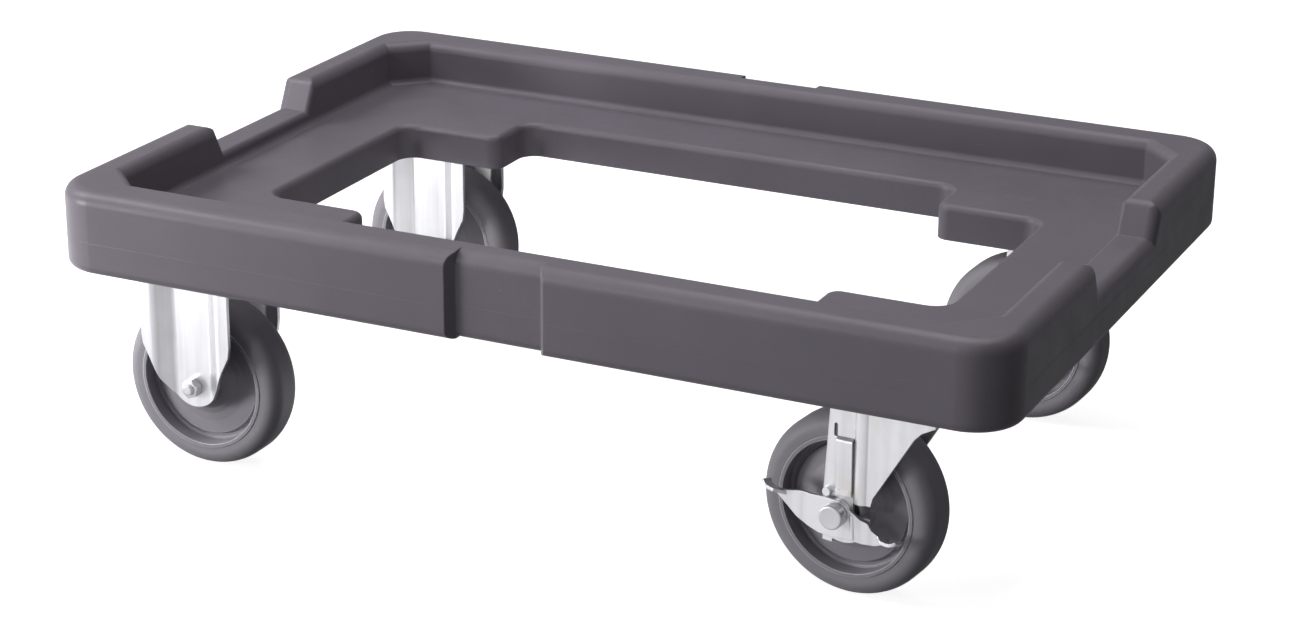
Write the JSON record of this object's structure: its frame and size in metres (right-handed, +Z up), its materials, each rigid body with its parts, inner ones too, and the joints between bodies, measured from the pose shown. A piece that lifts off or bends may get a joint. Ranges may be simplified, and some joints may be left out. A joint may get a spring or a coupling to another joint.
{
  "type": "food carrier dolly",
  "caption": "Low moulded dolly: a recessed tray frame with a stepped centre opening on fixed and braked swivel casters, for rolling stacked food carriers.",
  "frame": {"origin": "middle of the footprint at floor level", "axes": "+X along the long side from the fixed casters to the swivel casters, +Y to the back, +Z up"},
  "size_m": [0.696, 0.476, 0.212],
  "materials": {
    "moulded_frame": "satin, slightly grained",
    "tread": "matt grey non-marking rubber",
    "wheel_centre": "satin",
    "bush": "satin",
    "zinc_plated": "bright zinc plating",
    "insert": "as turned"
  },
  "bodies": {
    "frame": {"frame_shell": "moulded_frame", "inserts_front_left": "insert", "inserts_back_left": "insert", "inserts_front_right": "insert", "inserts_back_right": "insert", "bolts_front_left": "zinc_plated", "bolts_back_left": "zinc_plated", "bolts_front_right": "zinc_plated", "bolts_back_right": "zinc_plated", "fixed_fork_front_left": "zinc_plated", "fixed_fork_back_left": "zinc_plated", "axle_bolt_front_left": "zinc_plated", "axle_bolt_back_left": "zinc_plated", "axle_nut_front_left": "zinc_plated", "axle_nut_back_left": "zinc_plated", "axle_tube_front_left": "zinc_plated", "axle_tube_back_left": "zinc_plated", "swivel_plate_front_right": "zinc_plated", "swivel_plate_back_right": "zinc_plated", "king_pin_front_right": "zinc_plated", "king_pin_back_right": "zinc_plated"},
    "wheel_front_left": {"wheel_core_front_left": "wheel_centre", "tyre_front_left": "tread", "bushes_front_left": "bush"},
    "wheel_back_left": {"wheel_core_back_left": "wheel_centre", "tyre_back_left": "tread", "bushes_back_left": "bush"},
    "wheel_front_right": {"wheel_core_front_right": "wheel_centre", "tyre_front_right": "tread", "bushes_front_right": "bush"},
    "wheel_back_right": {"wheel_core_back_right": "wheel_centre", "tyre_back_right": "tread", "bushes_back_right": "bush"},
    "swivel_front_right": {"swivel_fork_front_right": "zinc_plated", "lower_race_front_right": "zinc_plated", "race_balls_front_right": "zinc_plated", "axle_bolt_front_right": "zinc_plated", "axle_nut_front_right": "zinc_plated", "axle_tube_front_right": "zinc_plated", "brake_spring_front_right": "zinc_plated"},
    "brake_front_right": {"brake_lever_front_right": "zinc_plated"},
    "swivel_back_right": {"swivel_fork_back_right": "zinc_plated", "lower_race_back_right": "zinc_plated", "race_balls_back_right": "zinc_plated", "axle_bolt_back_right": "zinc_plated", "axle_nut_back_right": "zinc_plated", "axle_tube_back_right": "zinc_plated", "brake_spring_back_right": "zinc_plated"},
    "brake_back_right": {"brake_lever_back_right": "zinc_plated"}
  },
  "joints": [
    {"name": "spin_front_left", "type": "hinge", "parent": "frame", "child": "wheel_front_left", "pos_m": [-0.264, -0.168, 0.0625], "axis": [0, 1, 0], "continuous": true},
    {"name": "spin_back_left", "type": "hinge", "parent": "frame", "child": "wheel_back_left", "pos_m": [-0.264, 0.168, 0.0625], "axis": [0, 1, 0], "continuous": true},
    {"name": "swivel_front_right", "type": "hinge", "parent": "frame", "child": "swivel_front_right", "pos_m": [0.264, -0.168, 0.144], "axis": [0, 0, 1], "continuous": true},
    {"name": "spin_front_right", "type": "hinge", "parent": "swivel_front_right", "child": "wheel_front_right", "pos_m": [0.22521, -0.16392, 0.0625], "axis": [0.1045, 0.9945, 0], "continuous": true},
    {"name": "brake_front_right", "type": "hinge", "parent": "swivel_front_right", "child": "brake_front_right", "pos_m": [0.22233, -0.19137, 0.0625], "axis": [0.1045, 0.9945, 0], "range_deg": [-26, 0]},
    {"name": "swivel_back_right", "type": "hinge", "parent": "frame", "child": "swivel_back_right", "pos_m": [0.264, 0.168, 0.144], "axis": [0, 0, 1], "continuous": true},
    {"name": "spin_back_right", "type": "hinge", "parent": "swivel_back_right", "child": "wheel_back_right", "pos_m": [0.22505, 0.17004, 0.0625], "axis": [0.0523, 0.9986, 0], "continuous": true},
    {"name": "brake_back_right", "type": "hinge", "parent": "swivel_back_right", "child": "brake_back_right", "pos_m": [0.22361, 0.14248, 0.0625], "axis": [0.0523, 0.9986, 0], "range_deg": [-26, 0]}
  ]
}
